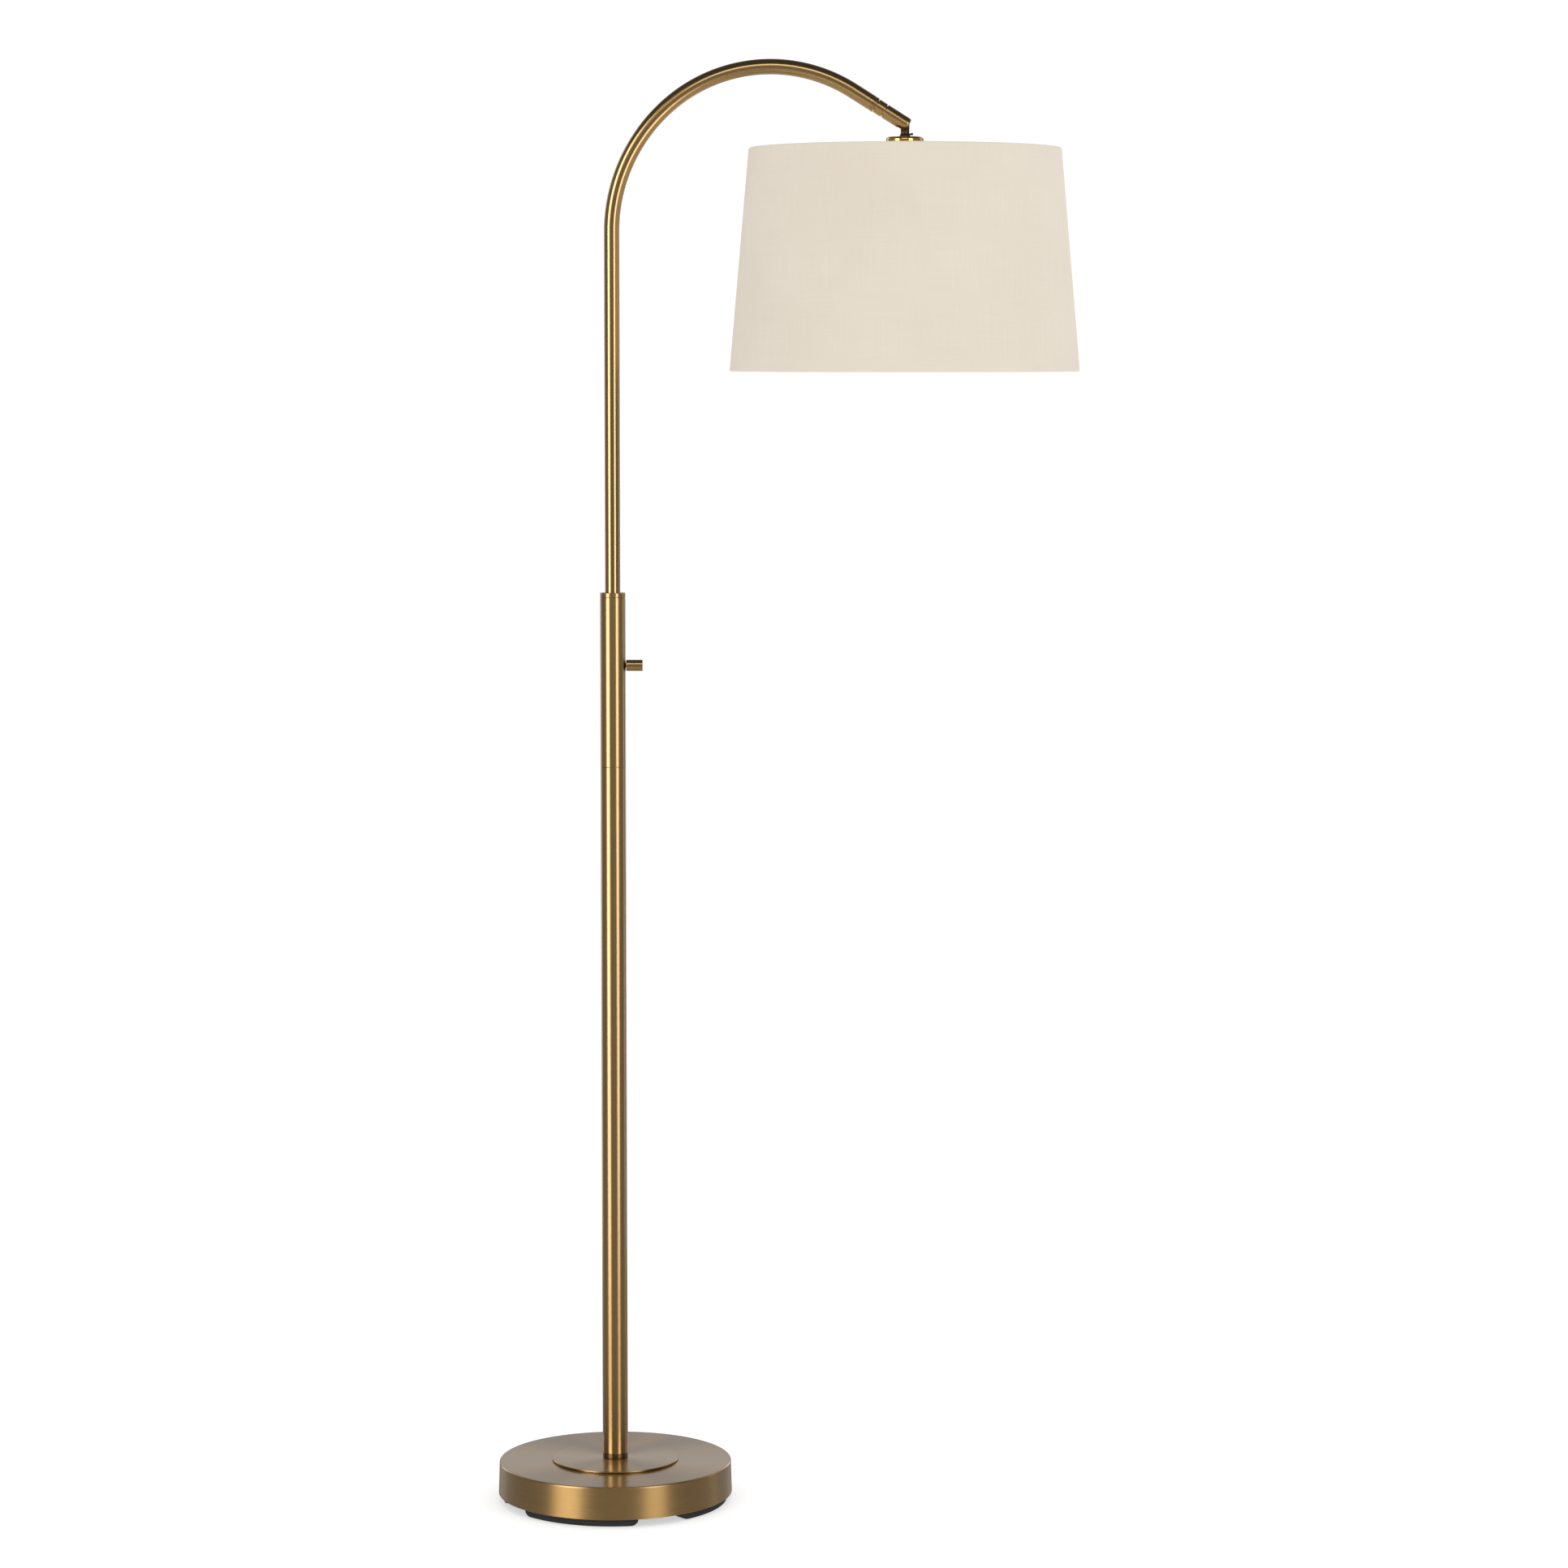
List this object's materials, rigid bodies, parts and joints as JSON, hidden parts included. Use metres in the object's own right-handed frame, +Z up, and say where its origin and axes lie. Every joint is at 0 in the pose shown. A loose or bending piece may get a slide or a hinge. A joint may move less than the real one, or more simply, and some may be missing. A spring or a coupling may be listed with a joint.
{
  "type": "pharmacy floor lamp",
  "caption": "Floor lamp with a round weighted base, telescopic brass pole, bent swivel arm and a tapered drum linen shade that tilts.",
  "frame": {"origin": "on the floor, under the middle of the lamp's overall box", "axes": "+Z up, +X from the pole towards the shade, +Y to the back; the pole, arm and shade lie in the plane Y = 0"},
  "size_m": [0.684, 0.4084, 1.6994],
  "materials": {
    "antique_brass": "antique brass plating, fine brushed",
    "polished_antique_brass": "antique brass plating, polished",
    "polished_brass": "polished",
    "dark_bronze": "dark oil-rubbed, satin",
    "plain_brass": "plain pressed brass",
    "zinc_steel": "zinc plated",
    "cast_iron": "black painted casting",
    "black_steel": "black powder coat",
    "black_foam": "matte dense foam rubber",
    "black_plastic": "satin black",
    "pale_nylon": "natural nylon",
    "white_wire": "white coated wire",
    "styrene": "satin white backing",
    "linen": "fine natural linen",
    "porcelain_white": "glazed",
    "opal_glass": "opal white"
  },
  "bodies": {
    "stand": {"base_shell": "antique_brass", "base_weight": "cast_iron", "bottom_plate": "black_steel", "plate_screw_1": "zinc_steel", "plate_screw_2": "zinc_steel", "plate_screw_3": "zinc_steel", "plate_screw_4": "zinc_steel", "base_pad_1": "black_foam", "base_pad_2": "black_foam", "base_pad_3": "black_foam", "base_pad_4": "black_foam", "cord_gland": "black_plastic", "base_disc": "antique_brass", "pole_foot": "dark_bronze", "stand_rod": "zinc_steel", "rod_washer": "zinc_steel", "rod_nut": "zinc_steel", "lower_pole": "antique_brass", "pole_coupling": "zinc_steel", "clamp_sleeve": "antique_brass", "sleeve_bush": "antique_brass"},
    "slider": {"arm_piston": "pale_nylon"},
    "arm": {"arm_tube": "polished_antique_brass", "arm_ferrule": "antique_brass", "swivel_collar": "antique_brass", "swivel_stud": "zinc_steel", "swivel_washer": "zinc_steel"},
    "clamp_nose": {"clamp_pad": "pale_nylon"},
    "clamp_handle": {"clamp_screw": "dark_bronze", "clamp_knob": "antique_brass"},
    "swivel": {"swivel_body": "antique_brass", "tilt_pin": "dark_bronze", "tilt_washer_1": "zinc_steel", "tilt_washer_2": "zinc_steel"},
    "shade": {"shade_tang": "dark_bronze", "tang_screw": "dark_bronze", "shade_cap": "polished_brass", "shade_nipple": "zinc_steel", "spider_hub": "white_wire", "hub_nut": "plain_brass", "spider_spoke_1": "white_wire", "spider_spoke_2": "white_wire", "spider_spoke_3": "white_wire", "shade_ring_top": "white_wire", "shade_ring_bottom": "white_wire", "shade_liner": "styrene", "shade_fabric": "linen", "socket_cap": "plain_brass", "socket_shell": "plain_brass", "socket_core": "porcelain_white", "bulb_base": "zinc_steel", "bulb_glass": "opal_glass"},
    "switch": {"switch_key": "black_plastic"}
  },
  "joints": [
    {"name": "height_slide", "type": "slide", "parent": "stand", "child": "slider", "axis": [0, 0, 1], "range_m": [-0.4, 0.059]},
    {"name": "arm_turn", "type": "hinge", "parent": "slider", "child": "arm", "pos_m": [-0.20342, 0, 1.0794], "axis": [0, 0, 1], "range_deg": [-175, 175]},
    {"name": "clamp_feed", "type": "slide", "parent": "stand", "child": "clamp_nose", "axis": [1, 0, 0], "range_m": [0, 0.002]},
    {"name": "clamp_turn", "type": "hinge", "parent": "clamp_nose", "child": "clamp_handle", "pos_m": [-0.18632, 0, 0.994], "axis": [1, 0, 0], "range_deg": [0, 720]},
    {"name": "swivel_turn", "type": "hinge", "parent": "arm", "child": "swivel", "pos_m": [0.10397, 0, 1.64573], "axis": [0.8453, 0, -0.5344], "range_deg": [-90, 90]},
    {"name": "shade_tilt", "type": "hinge", "parent": "swivel", "child": "shade", "pos_m": [0.13782, 0, 1.62433], "axis": [0, 1, 0], "range_deg": [-57, 20]},
    {"name": "switch_turn", "type": "hinge", "parent": "shade", "child": "switch", "pos_m": [0.13782, 0, 1.56033], "axis": [1, 0, 0], "continuous": true}
  ],
  "couplings": [
    {"joint": "clamp_turn", "follows": "clamp_feed", "rad_per_m": 6283.2}
  ]
}
